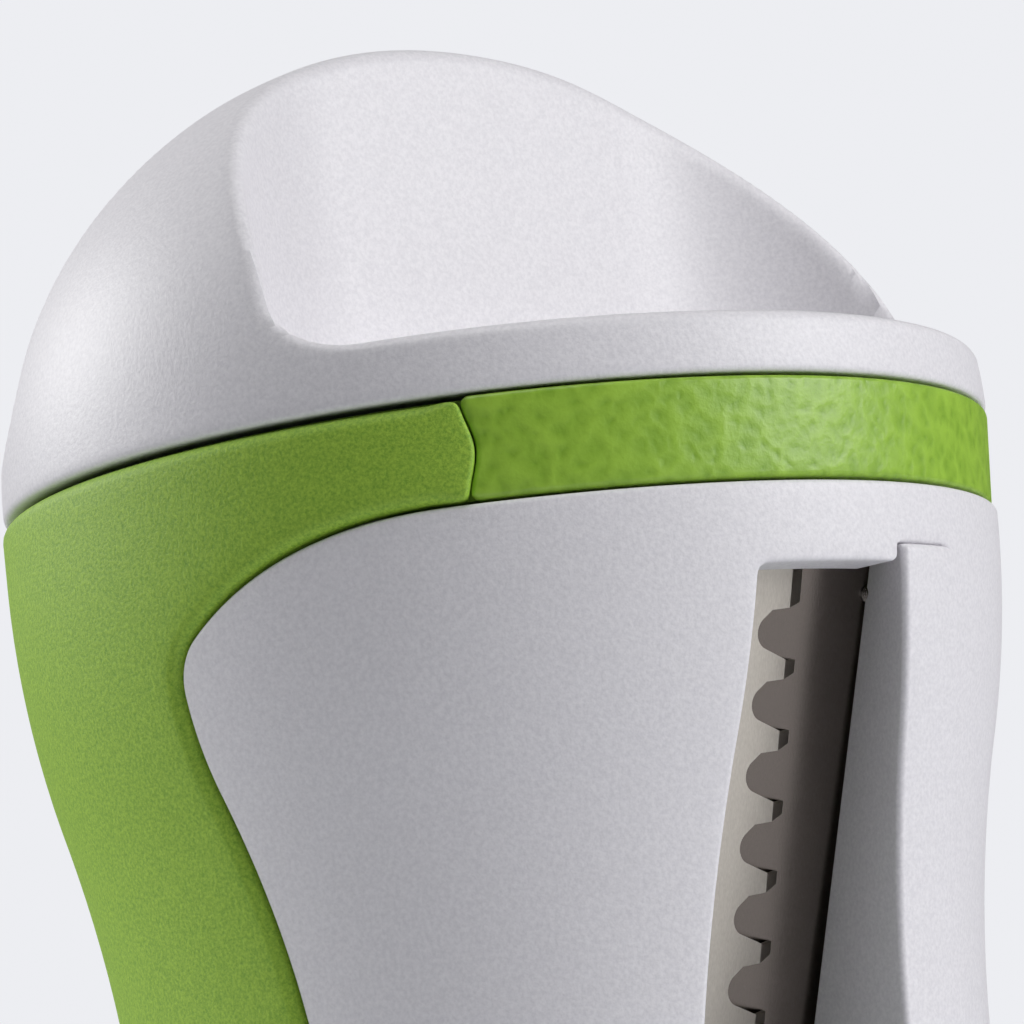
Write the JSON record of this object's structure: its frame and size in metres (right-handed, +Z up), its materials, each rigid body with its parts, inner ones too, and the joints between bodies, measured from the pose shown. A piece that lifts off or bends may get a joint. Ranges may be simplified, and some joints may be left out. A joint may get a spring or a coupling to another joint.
{
  "type": "hand-held spiral vegetable slicer",
  "caption": "Hand-held spiral slicer: hourglass body with soft grip, side window with toothed comb and blade over a funnel, and a domed food-holder lid that turns and lifts off.",
  "frame": {"origin": "centre of the base on the surface the slicer stands on", "axes": "+Z up along the axis of the body, -Y towards the window in the front panel, +X to the right seen from the front"},
  "size_m": [0.0864, 0.0862, 0.1534],
  "materials": {
    "white_abs": "fine spark-eroded grain",
    "green_abs": "leather-like moulded grain",
    "green_tpe": "soft, fine-grained",
    "blade_steel": "ground",
    "pin_steel": "drawn",
    "screw_steel": "tumbled"
  },
  "bodies": {
    "body": {"body_shell": "white_abs", "soft_grip": "green_tpe", "mouth_rim": "green_abs", "base_ring": "green_abs", "foot_ring": "green_tpe", "base_screws": "screw_steel", "funnel": "green_abs", "comb": "blade_steel", "comb_screws": "screw_steel", "blade": "blade_steel", "blade_screws": "screw_steel", "exit_lip": "white_abs"},
    "seal": {"lid_seal": "green_tpe"},
    "lid": {"lid_dome": "white_abs", "lid_plate": "white_abs", "lid_screws": "screw_steel", "pin_carrier": "green_abs", "pin_backing": "pin_steel", "carrier_screws": "screw_steel", "food_pins": "pin_steel", "centre_pin": "pin_steel"}
  },
  "joints": [
    {"name": "lid_lift", "type": "slide", "parent": "body", "child": "seal", "axis": [0, 0, 1], "range_m": [0, 0.12]},
    {"name": "lid_turn", "type": "hinge", "parent": "seal", "child": "lid", "pos_m": [0, 0, 0.12], "axis": [0, 0, 1], "continuous": true}
  ]
}
